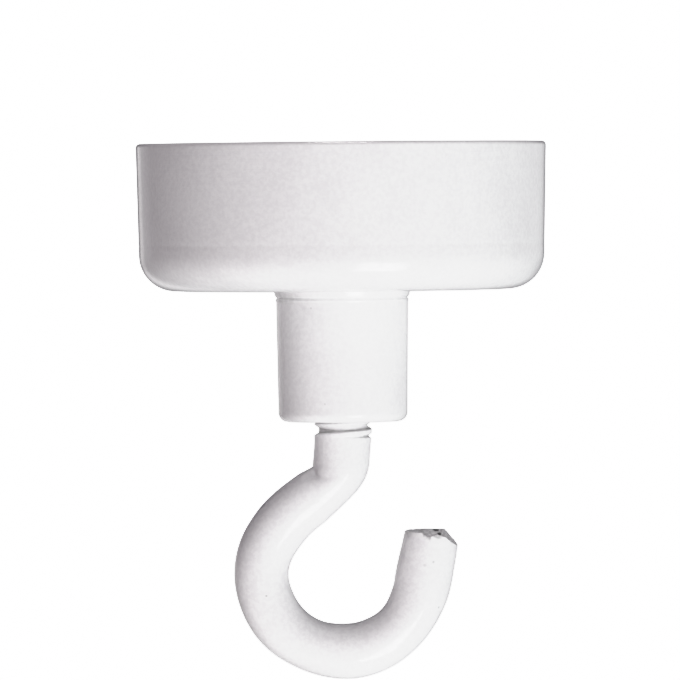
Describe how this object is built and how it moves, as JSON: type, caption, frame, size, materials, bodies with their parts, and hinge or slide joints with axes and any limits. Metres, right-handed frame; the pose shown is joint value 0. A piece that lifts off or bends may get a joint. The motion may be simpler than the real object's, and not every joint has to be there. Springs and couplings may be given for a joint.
{
  "type": "magnetic hook",
  "caption": "White-coated round pot magnet with a threaded bush under it and a bent wire hook screwed into the bush, for hanging things from steel.",
  "frame": {"origin": "centre of the ground magnetic face, which meets the steel that the part sticks to", "axes": "+Z out of the magnetic face, along the axis of the pot, bush and thread; the hook hangs towards -Z, bent in the XZ plane, with its mouth towards +X"},
  "size_m": [0.036, 0.036, 0.0471],
  "materials": {
    "white_coat": "smooth white baked coat on steel, bare where the rim is ground and where the hook's end is sheared",
    "ferrite": "ground hard ferrite, dark grey, slightly porous",
    "resin": "cast black epoxy resin, satin"
  },
  "bodies": {
    "magnet_base": {"pot_shell": "white_coat", "magnet": "ferrite", "resin_ring": "resin", "threaded_bush": "white_coat"},
    "hook": {"hook": "white_coat"}
  },
  "joints": [
    {"name": "hook_turn", "type": "hinge", "parent": "magnet_base", "child": "hook", "pos_m": [0, 0, -0.02455], "axis": [0, 0, 1], "range_deg": [-180, 180]}
  ]
}
